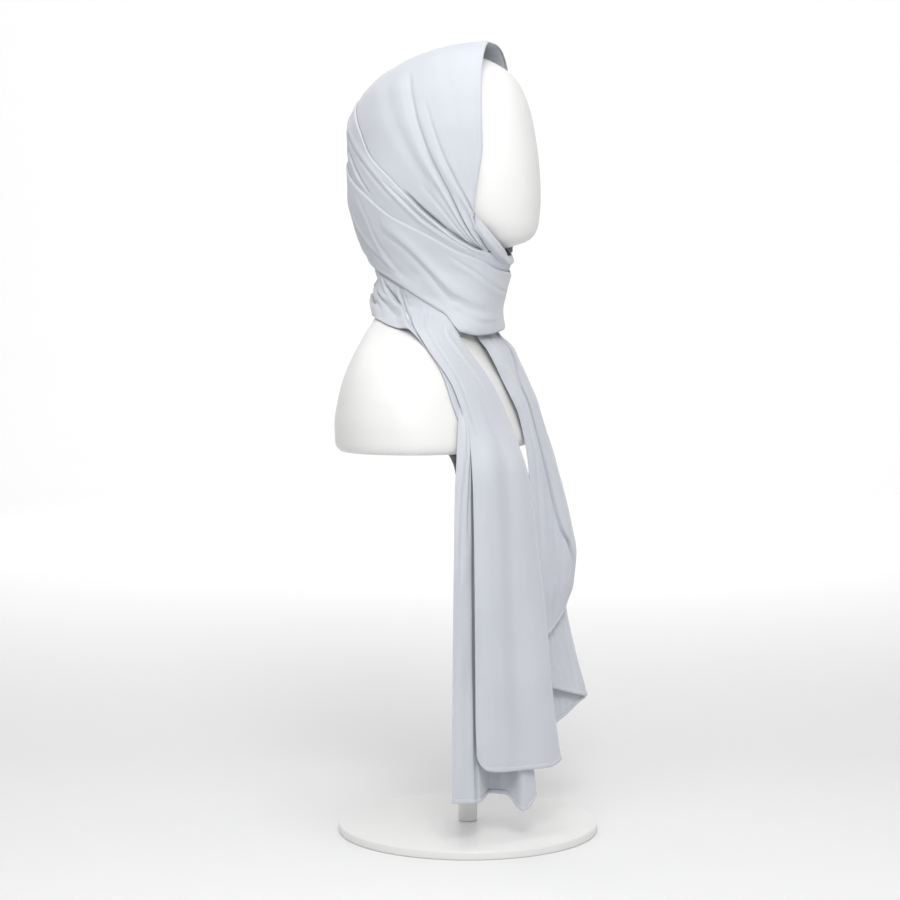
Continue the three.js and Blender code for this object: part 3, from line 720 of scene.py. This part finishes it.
def cloth_wall(name, surface, columns, rows, wall, flip=False):
    """Closed thin shell: the face grid, the same grid moved in by `wall` mm, and a rounded
    rim of one ring of points between them, all round."""
    face = grid(surface, columns, rows)
    if flip:
        face = face[:, ::-1]
    across = np.linalg.norm(np.diff(face, axis=1), axis=-1)
    upward = np.linalg.norm(np.diff(face, axis=0), axis=-1)
    u = np.concatenate([np.zeros((rows + 1, 1)), np.cumsum(across, 1)], 1)
    v = np.concatenate([np.zeros((1, columns + 1)), np.cumsum(upward, 0)], 0)
    normal = normals(face)
    back = face - normal * wall
    ring = np.concatenate(
        [
            np.stack([np.zeros(columns, int), np.arange(columns)], 1),
            np.stack([np.arange(rows), np.full(rows, columns)], 1),
            np.stack([np.full(columns, rows), np.arange(columns, 0, -1)], 1),
            np.stack([np.arange(rows, 0, -1), np.zeros(rows, int)], 1),
        ]
    )
    j, i = ring.T
    inward = face[np.clip(j, 1, rows - 1), np.clip(i, 1, columns - 1)]
    out = unit(face[j, i] - inward) * wall * 0.4
    rim = (face[j, i] + back[j, i]) / 2 + out
    count = (rows + 1) * (columns + 1)
    at = j * (columns + 1) + i
    following = np.roll(at, -1)
    middle = 2 * count + np.arange(len(ring))
    after = np.roll(middle, -1)
    faces = np.concatenate(
        [
            quads(rows, columns),
            quads(rows, columns, count)[:, ::-1],
            np.stack([following, at, middle, after], 1),
            np.stack([after, middle, at + count, following + count], 1),
        ]
    )
    points = np.concatenate([face.reshape(-1, 3), back.reshape(-1, 3), rim])
    lengths = np.stack([u, v], -1)
    flat = lengths.reshape(-1, 2)
    uv = np.concatenate([flat, flat, lengths[j, i]]) * MM
    return mesh_piece(name, points, faces, uv)


def turned_piece(name, profile, around=96, lid=True):
    """A profile of (radius, height) turned about Z: each of its points goes round on a circle.
    It is closed on the axis at its lower end, and at its upper one too if it has a lid."""
    line = np.array(profile, float)
    turn = np.linspace(0, 2 * np.pi, around, endpoint=False)
    ring = line[1:-1, None, :]
    x = ring[..., 0] * np.cos(turn)
    y = ring[..., 0] * np.sin(turn)
    z = ring[..., 1] + 0 * turn
    points = np.stack([x, y, z], -1).reshape(-1, 3)
    ends = np.array([[0, 0, line[0, 1]], [0, 0, line[-1, 1]]])[:2 if lid else 1]
    rings = len(line) - 2
    j, i = np.indices((rings - 1, around))
    n = (i + 1) % around
    sides = np.stack([j * around + i, j * around + n, (j + 1) * around + n, (j + 1) * around + i], -1)
    first = np.arange(around)
    second = (first + 1) % around
    top = (rings - 1) * around
    low = np.stack([np.full(around, rings * around), second, first], 1)
    high = np.stack([np.full(around, rings * around + 1), top + first, top + second], 1)
    faces = sides.reshape(-1, 4).tolist() + low.tolist() + (high.tolist() if lid else [])
    mesh = bpy.data.meshes.new(name)
    mesh.from_pydata((np.concatenate([points, ends]) * MM).tolist(), [], faces)
    mesh.polygons.foreach_set("use_smooth", np.ones(len(faces), bool))
    mesh.set_sharp_from_angle(angle=math.radians(40))
    piece = bpy.data.objects.new(name, mesh)
    bpy.context.collection.objects.link(piece)
    return piece


def new_material(name, color, roughness):
    """A node material with its shader's constant values set, and its tree and shader."""
    material = bpy.data.materials.new(name)
    material.use_nodes = True
    tree = material.node_tree
    shader = tree.nodes["Principled BSDF"]
    shader.inputs["Base Color"].default_value = (*color, 1)
    shader.inputs["Roughness"].default_value = roughness
    return material, tree, shader


def node(tree, kind, settings=None, **inputs):
    """A node of a kind, with its settings, and its inputs set or linked by name."""
    made = tree.nodes.new(kind)
    for key, value in (settings or {}).items():
        setattr(made, key, value)
    for key, value in inputs.items():
        socket = made.inputs[key.replace("_", " ")]
        if isinstance(value, bpy.types.NodeSocket):
            tree.links.new(value, socket)
        else:
            socket.default_value = value
    return made


def noise(tree, place, scale, detail, **more):
    """A noise texture over a place."""
    return node(tree, "ShaderNodeTexNoise", None, Vector=place, Scale=scale, Detail=detail, **more)


def bump(tree, height, strength, distance, **more):
    """A bump from a height."""
    return node(
        tree, "ShaderNodeBump", None, Strength=strength, Distance=distance, Height=height, **more
    )


def tones(tree, shader, share, low, high):
    """Base colour that runs from one tone to another: each is its place and its colour."""
    ramp = node(tree, "ShaderNodeValToRGB", None, Fac=share)
    for stop, (place, color) in zip(ramp.color_ramp.elements, (low, high)):
        stop.position = place
        stop.color = (*color, 1)
    tree.links.new(ramp.outputs["Color"], shader.inputs["Base Color"])


def crepe(name, color, shade, weave):
    """Soft crepe: fine crossed threads and pebbled grain in the bump, and a slow change of
    tone between two near colours over the cloth's own lengths."""
    material, tree, shader = new_material(name, color, 0.82)
    shader.inputs["Sheen Weight"].default_value = 0.35
    shader.inputs["Sheen Roughness"].default_value = 0.45
    shader.inputs["Specular IOR Level"].default_value = 0.25
    place = node(tree, "ShaderNodeTexCoord")
    own = place.outputs["Object"]
    crossed = node(tree, "ShaderNodeMath", dict(operation="MULTIPLY"))
    for number, (direction, scale) in enumerate((("X", weave), ("Y", weave * 0.92))):
        threads = node(
            tree, "ShaderNodeTexWave", dict(wave_type="BANDS", bands_direction=direction),
            Vector=place.outputs["UV"], Scale=scale, Distortion=1.6, Detail=2.0,
        )
        tree.links.new(threads.outputs["Fac"], crossed.inputs[number])
    grain = noise(tree, own, 1500.0, 3.0, Roughness=0.6)
    rumple = noise(tree, own, 38.0, 4.0, Roughness=0.55)
    soft = bump(tree, rumple.outputs["Fac"], 0.12, 0.004)
    pebble = bump(tree, grain.outputs["Fac"], 0.25, 0.0003, Normal=soft.outputs["Normal"])
    woven = bump(tree, crossed.outputs[0], 0.3, 0.0002, Normal=pebble.outputs["Normal"])
    tree.links.new(woven.outputs["Normal"], shader.inputs["Normal"])
    cloud = noise(tree, own, 9.0, 2.0)
    tones(tree, shader, cloud.outputs["Fac"], (0.3, shade), (0.7, color))
    return material


def lacquer(name, color, roughness, scale, depth):
    """Sprayed coat: an even colour with a faint orange-peel bump and uneven gloss."""
    material, tree, shader = new_material(name, color, roughness)
    place = node(tree, "ShaderNodeTexCoord").outputs["Object"]
    peel = noise(tree, place, scale, 2.0)
    skin = bump(tree, peel.outputs["Fac"], depth, 0.0005)
    tree.links.new(skin.outputs["Normal"], shader.inputs["Normal"])
    smudge = noise(tree, place, 14.0, 3.0)
    gloss = node(
        tree, "ShaderNodeMapRange", None,
        Value=smudge.outputs["Fac"], To_Min=roughness - 0.05, To_Max=roughness + 0.07,
    )
    tree.links.new(gloss.outputs["Result"], shader.inputs["Roughness"])
    return material


def stained_wood(name, color):
    """Dark stained turned wood: fine grain drawn out along the height."""
    material, tree, shader = new_material(name, color, 0.5)
    place = node(tree, "ShaderNodeTexCoord")
    drawn = node(tree, "ShaderNodeMapping", None, Vector=place.outputs["Object"])
    drawn.inputs["Scale"].default_value = (1, 1, 0.08)
    grain = noise(tree, drawn.outputs["Vector"], 260.0, 6.0, Roughness=0.65)
    dark = [c * 0.5 for c in color]
    light = [c * 1.5 for c in color]
    tones(tree, shader, grain.outputs["Fac"], (0.35, dark), (0.7, light))
    pores = bump(tree, grain.outputs["Fac"], 0.3, 0.0003)
    tree.links.new(pores.outputs["Normal"], shader.inputs["Normal"])
    return material


def length_prop(name, text, value, **limits):
    """A length property with its default, metres."""
    return bpy.props.FloatProperty(
        name=name, description=text, default=value, unit="LENGTH", **limits
    )


def color_prop(name, text, value):
    """A colour property with its default."""
    return bpy.props.FloatVectorProperty(
        name=name, description=text, default=value, subtype="COLOR", size=3, min=0, max=1
    )


class ScarfCloth(bpy.types.PropertyGroup):
    """The cloth's wall, colours, weave and hem"""

    wall: length_prop("Cloth wall", "Thickness of each sheet of cloth", 0.0012, min=0.0005, max=0.002)
    color: color_prop("Cloth", "Colour of the crepe", (0.595, 0.617, 0.663))
    shade: color_prop("Cloth shade", "Darker tone of the crepe", (0.555, 0.577, 0.622))
    weave: bpy.props.FloatProperty(
        name="Threads", description="Thread waves to a metre of cloth", default=420.0, min=50, max=2000
    )
    hem_width: length_prop(
        "Hem width", "Width of the rolled hem at the tails' ends", 0.005, min=0.002, max=0.02
    )


class DisplayForm(bpy.types.PropertyGroup):
    """The form's and the stand's colours and sizes"""

    shell: color_prop("Form", "Colour of the display form", (0.8, 0.8, 0.79))
    wood: color_prop("Collar", "Colour of the stained collar", (0.075, 0.045, 0.035))
    paint: color_prop("Stand", "Colour of the stand's paint", (0.80, 0.80, 0.79))
    plate_radius: length_prop("Plate radius", "Radius of the base plate", 0.15)
    post_radius: length_prop("Post radius", "Radius of the post", 0.011)


class StudioStage(bpy.types.PropertyGroup):
    """The camera and the backdrop"""

    distance: length_prop("Camera distance", "From the camera to what it looks at", 2.6, min=0.5)
    azimuth: bpy.props.FloatProperty(
        name="Azimuth", description="Viewing angle round the form",
        default=math.radians(-72), subtype="ANGLE",
    )
    elevation: bpy.props.FloatProperty(
        name="Elevation", description="Viewing angle above level",
        default=math.radians(4), subtype="ANGLE",
    )
    field: length_prop("Field", "Width of what the picture takes in", 1.035)
    aim_across: length_prop("Aim across", "From the post's axis to the aim, to the right", -0.0207)
    aim_height: length_prop("Aim height", "Height that the camera looks at", 0.4413)
    backdrop: color_prop("Backdrop", "Colour of the floor and backdrop", (0.86, 0.86, 0.86))
    reach: length_prop("Floor reach", "Radius of the flat floor", 4.2)
    bend: length_prop("Bend", "Radius of the bend up into the wall", 1.8)
    wall_height: length_prop("Wall height", "Height of the round wall", 6.5)


def scarf_material(context):
    """The crepe, made once."""
    cloth = context.scene.scarf_cloth
    found = bpy.data.materials.get("pale_crepe")
    return found or crepe("pale_crepe", tuple(cloth.color), tuple(cloth.shade), cloth.weave)


def dress(piece, material, solid):
    """Gives a piece its finish and its body, and hides the solid that it stands for."""
    piece.data.materials.append(material)
    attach(piece, "root")
    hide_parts(solid)
    return piece


def cloth_piece(context, solid, surface, columns, rows, flip=False):
    """One stretch of the scarf, as a shell over its surface."""
    wall = context.scene.scarf_cloth.wall / MM
    piece = cloth_wall(f"{solid}_cloth", surface, columns, rows, wall, flip)
    return dress(piece, scarf_material(context), solid)


def hem_piece(context, solid, surface, drop, columns):
    """Rolled hem along a sheet's lower end: the sheet's lowest stretch moved out by
    0.9 * sqrt(sin(pi v)) mm, `drop` being the height of the whole sheet in mm."""
    width = context.scene.scarf_cloth.hem_width / MM
    share = 1 - (1 - width / drop) ** (2 / 3)

    def roll(u, v):
        """The sheet's lowest stretch moved out along its normal."""
        low = surface(u, v * share)
        above = surface(u, v * share + 0.004)
        right = surface(np.minimum(u + 0.004, 1), v * share)
        left = surface(np.maximum(u - 0.004, 0), v * share)
        out = unit(np.cross(right - left, above - low))
        return low + out * (0.25 + 0.9 * np.sqrt(np.sin(np.pi * np.clip(v, 0, 1))))[..., None]

    piece = cloth_wall(f"{solid}_hem", roll, columns, HEM_ROWS, HEM_WALL)
    return dress(piece, scarf_material(context), solid)


class SCARF_OT_hood(bpy.types.Operator):
    """Build the hood, with its folds fanning from the throat"""

    bl_idname = "scarf.hood"
    bl_label = "Hood"

    def execute(self, context):
        hood = cloth_piece(context, "hood", hood_point, 220, 216, flip=True)
        return {"FINISHED"}


class SCARF_OT_chin_fold(bpy.types.Operator):
    """Build the rolled fold under the chin"""

    bl_idname = "scarf.chin_fold"
    bl_label = "Chin fold"

    def execute(self, context):
        roll = cloth_piece(context, "chin_fold", chin_roll, 140, 30, flip=True)
        return {"FINISHED"}


class SCARF_OT_band(bpy.types.Operator):
    """Build the band round the neck and head, and the ply above it"""

    bl_idname = "scarf.band"
    bl_label = "Band"

    def execute(self, context):
        near = cloth_piece(context, "near_band", near_band, 200, 80, flip=True)
        far = cloth_piece(context, "far_band", far_band, 190, 80, flip=True)
        upper = cloth_piece(context, "band_upper", upper_ply, 320, 52, flip=True)
        return {"FINISHED"}


class SCARF_OT_nape_wrap(bpy.types.Operator):
    """Build the cloth round the nape and over the near shoulder"""

    bl_idname = "scarf.nape_wrap"
    bl_label = "Nape wrap"

    def execute(self, context):
        nape = cloth_piece(context, "nape_wrap", nape_wrap, 230, 70, flip=True)
        return {"FINISHED"}


class SCARF_OT_near_tail(bpy.types.Operator):
    """Build the near tail's front panel and the ply behind it"""

    bl_idname = "scarf.near_tail"
    bl_label = "Near tail"

    def execute(self, context):
        front = cloth_piece(context, "near_tail_front", near_tail_front, 90, 260)
        back = cloth_piece(context, "near_tail_back", near_tail_back, 130, 170)
        front_hem = hem_piece(context, "near_tail_front", near_tail_front, 530, 110)
        back_hem = hem_piece(context, "near_tail_back", near_tail_back, 440, 140)
        return {"FINISHED"}


class SCARF_OT_far_tail(bpy.types.Operator):
    """Build the far tail's two plies and its turned corner"""

    bl_idname = "scarf.far_tail"
    bl_label = "Far tail"

    def execute(self, context):
        front = cloth_piece(context, "far_tail_front", far_tail_front, 130, 160)
        back = cloth_piece(context, "far_tail_back", far_tail_back, 80, 140)
        corner = cloth_piece(context, "far_tail_corner", far_tail_corner, 60, 70)
        front_hem = hem_piece(context, "far_tail_front", far_tail_front, 370, 80)
        back_hem = hem_piece(context, "far_tail_back", far_tail_back, 278, 80)
        corner_hem = hem_piece(context, "far_tail_corner", far_tail_corner, 135, 60)
        return {"FINISHED"}


class SCARF_OT_form(bpy.types.Operator):
    """Build the smooth display form"""

    bl_idname = "scarf.form"
    bl_label = "Display form"

    def execute(self, context):
        look = context.scene.display_form
        points = grid(form_point, 144, 150)
        rows, columns = points.shape[0] - 1, points.shape[1] - 1
        faces = quads(rows, columns)
        foot = np.array([[0, (FORM["front"][0] + FORM["back"][0]) / 2, FORM_BASE]])
        count = points.shape[0] * points.shape[1]
        first = np.arange(columns)
        under = np.stack([np.full(columns, count), first + 1, first], 1)
        mesh = bpy.data.meshes.new("form_shell")
        every = np.concatenate([points.reshape(-1, 3), foot]) * MM
        mesh.from_pydata(every.tolist(), [], faces.tolist() + under.tolist())
        shell = bpy.data.objects.new("form_shell", mesh)
        context.collection.objects.link(shell)
        weld(mesh)
        mesh.polygons.foreach_set("use_smooth", np.ones(len(mesh.polygons), bool))
        mesh.set_sharp_from_angle(angle=math.radians(60))
        satin = lacquer("satin_shell", tuple(look.shell), 0.42, 700.0, 0.06)
        dress(shell, satin, "display_form")
        return {"FINISHED"}


def weld(mesh):
    """Joins the points that lie on each other and turns the faces out."""
    work = bmesh.new()
    work.from_mesh(mesh)
    bmesh.ops.remove_doubles(work, verts=work.verts, dist=1e-6)
    bmesh.ops.recalc_face_normals(work, faces=work.faces)
    work.to_mesh(mesh)
    work.free()


def bevelled(radius, low, high, bevel=2.0, steps=5):
    """Profile of a disc or post with rounded edges, as (radius, height) rows."""
    turn = np.linspace(0, np.pi / 2, steps)
    lower = np.stack([radius - bevel + bevel * np.sin(turn), low + bevel - bevel * np.cos(turn)], 1)
    upper = np.stack([radius - bevel + bevel * np.cos(turn), high - bevel + bevel * np.sin(turn)], 1)
    return [(0, low), *map(tuple, lower), *map(tuple, upper), (0, high)]


class SCARF_OT_stand(bpy.types.Operator):
    """Build the base plate, post and turned collar"""

    bl_idname = "scarf.stand"
    bl_label = "Stand"

    def execute(self, context):
        look = context.scene.display_form
        plate = look.plate_radius / MM
        post = look.post_radius / MM
        foot, neck, flare = 402.0, post + 3, 26.0
        top = FORM_BASE - GAP
        paint = lacquer("stand_paint", tuple(look.paint), 0.38, 900.0, 0.08)
        wood = stained_wood("stained_collar", tuple(look.wood))
        t = np.linspace(0, 1, 16)
        cup = np.stack([neck + (flare - neck) * t**2.2, foot + 4 + 35 * t], 1)
        collar = [(0, foot), (neck - 1, foot), (neck, foot + 1), *map(tuple, cup)]
        collar += [(flare, top - 1), (flare - 1, top), (0, top)]
        tube = bevelled(post, PLATE_HEIGHT + GAP, foot - GAP, 0.8)
        made = [
            ("plate_cover", "base_plate", bevelled(plate, 0, PLATE_HEIGHT), paint, "stand_paint"),
            ("post_tube", "post", tube, paint, "stand_paint"),
            ("collar_wood", "post_collar", collar, wood, "dark_wood"),
        ]
        for name, cad, profile, material, slot in made:
            dress(turned_piece(name, profile), material, cad)
        return {"FINISHED"}


def turned_sweep(name, reach, bend, height):
    """Seamless floor and backdrop, metres: a flat disc of radius `reach` that bends up with
    radius `bend` into a round wall."""
    turn = np.linspace(0, np.pi / 2, 24)
    line = [(0, 0), (reach, 0)]
    line += [(reach + bend * np.sin(a), bend - bend * np.cos(a)) for a in turn[1:]]
    line += [(reach + bend, height), (0, height)]
    return turned_piece(name, np.array(line) / MM, 128, lid=False)


class SCARF_OT_stage(bpy.types.Operator):
    """Set the floor, backdrop, soft lights and camera"""

    bl_idname = "scarf.stage"
    bl_label = "Stage"

    def execute(self, context):
        look = context.scene.studio_stage
        azimuth, elevation = look.azimuth, look.elevation
        level = math.cos(elevation)
        back = Vector((math.sin(azimuth) * level, -math.cos(azimuth) * level, math.sin(elevation)))
        right = Vector((math.cos(azimuth), math.sin(azimuth), 0))
        target = right * look.aim_across + Vector((0, 0, look.aim_height))
        data = bpy.data.cameras.new("camera")
        data.sensor_width = 36
        data.lens = data.sensor_width * look.distance / look.field
        camera = bpy.data.objects.new("camera", data)
        context.collection.objects.link(camera)
        camera.location = target + back * look.distance
        camera.rotation_mode = "QUATERNION"
        camera.rotation_quaternion = back.to_track_quat("Z", "Y")
        context.scene.camera = camera
        floor = turned_sweep("floor", look.reach, look.bend, look.wall_height)
        material, _, shader = new_material("pale_floor", tuple(look.backdrop), 0.9)
        shader.inputs["Specular IOR Level"].default_value = 0.1
        floor.data.materials.append(material)
        world = bpy.data.worlds.new("studio")
        context.scene.world = world
        world.use_nodes = True
        sky = world.node_tree.nodes["Background"]
        sky.inputs["Color"].default_value = (1, 1, 1, 1)
        sky.inputs["Strength"].default_value = 0.75
        head = (0, 0, 0.7)
        # name, place, size, power and what it is aimed at
        lights = [
            ("overhead", (-0.5, -0.1, 1.85), 0.6, 5.0, head),
            ("front_key", (-1.3, -0.55, 1.3), 0.55, 12.0, head),
            ("back_rim", (0.9, 1.9, 2.1), 1.0, 3.0, head),
            ("backdrop_wash", (2.0, 0.6, 3.3), 1.5, 90.0, (6.0, 1.9, 1.2)),
        ]
        for name, place, size, power, aimed_at in lights:
            lamp = bpy.data.lights.new(name, "AREA")
            lamp.shape = "DISK"
            lamp.size = size
            lamp.energy = power
            holder = bpy.data.objects.new(name, lamp)
            context.collection.objects.link(holder)
            holder.location = place
            aim = Vector(place) - Vector(aimed_at)
            holder.rotation_euler = aim.to_track_quat("Z", "Y").to_euler()
        context.scene.view_settings.view_transform = "Standard"
        return {"FINISHED"}


STEPS = ("hood", "chin_fold", "band", "nape_wrap", "near_tail", "far_tail", "form", "stand", "stage")


class SCARF_PT_panel(bpy.types.Panel):
    """Sizes, colours and the steps of the build"""

    bl_idname = "SCARF_PT_panel"
    bl_label = "Wound headscarf"
    bl_space_type = "VIEW_3D"
    bl_region_type = "UI"
    bl_category = "Scarf"

    def draw(self, context):
        """Every setting in its group's box, then a button for each step."""
        scene = context.scene
        for group in (scene.scarf_cloth, scene.display_form, scene.studio_stage):
            box = self.layout.box()
            for key in group.bl_rna.properties.keys():
                if key not in {"rna_type", "name"}:
                    box.prop(group, key)
        for step in STEPS:
            self.layout.operator(f"scarf.{step}")


CLASSES = (
    ScarfCloth,
    DisplayForm,
    StudioStage,
    SCARF_OT_hood,
    SCARF_OT_chin_fold,
    SCARF_OT_band,
    SCARF_OT_nape_wrap,
    SCARF_OT_near_tail,
    SCARF_OT_far_tail,
    SCARF_OT_form,
    SCARF_OT_stand,
    SCARF_OT_stage,
    SCARF_PT_panel,
)


def register():
    """Adds the classes and the three groups of settings."""
    for cls in CLASSES:
        bpy.utils.register_class(cls)
    bpy.types.Scene.scarf_cloth = bpy.props.PointerProperty(type=ScarfCloth)
    bpy.types.Scene.display_form = bpy.props.PointerProperty(type=DisplayForm)
    bpy.types.Scene.studio_stage = bpy.props.PointerProperty(type=StudioStage)


def unregister():
    """Takes them out again, in the other order."""
    for name in ("scarf_cloth", "display_form", "studio_stage"):
        delattr(bpy.types.Scene, name)
    for cls in reversed(CLASSES):
        bpy.utils.unregister_class(cls)


def main():
    """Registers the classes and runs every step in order."""
    register()
    for step in STEPS:
        getattr(bpy.ops.scarf, step)()


if __name__ == "__main__":
    main()
